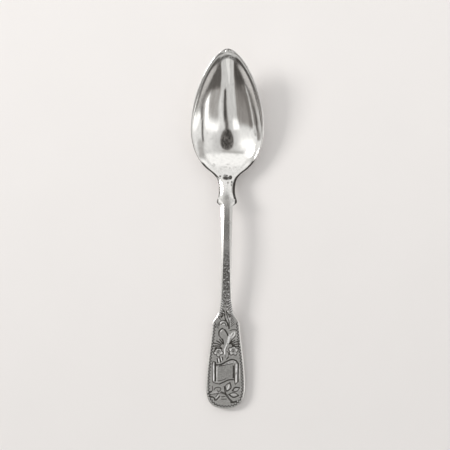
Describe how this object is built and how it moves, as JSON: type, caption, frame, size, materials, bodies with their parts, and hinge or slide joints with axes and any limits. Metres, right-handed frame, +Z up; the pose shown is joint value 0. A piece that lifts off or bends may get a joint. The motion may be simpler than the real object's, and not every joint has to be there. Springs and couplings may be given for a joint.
{
  "type": "christening spoon",
  "caption": "Silver fiddle-pattern spoon: a pointed dished bowl lap-soldered by its neck to a faceted shank that spreads into an engraved handle end.",
  "frame": {"origin": "on the table, under the middle of the spoon's length and width, as it lies bowl up", "axes": "+Y from the end of the handle to the tip of the bowl, +Z up, +X to the right seen from above with the tip away"},
  "size_m": [0.0324, 0.1594, 0.0178],
  "materials": {
    "polished_silver": "polished silver with fine wear scratches",
    "engraved_silver": "polished silver, engraved, with dark tarnish in the cuts",
    "silver_solder": "silver solder, slightly yellower than the sheet"
  },
  "bodies": {
    "root": {"bowl": "polished_silver", "stem": "engraved_silver", "solder_sheet": "silver_solder"}
  },
  "joints": []
}
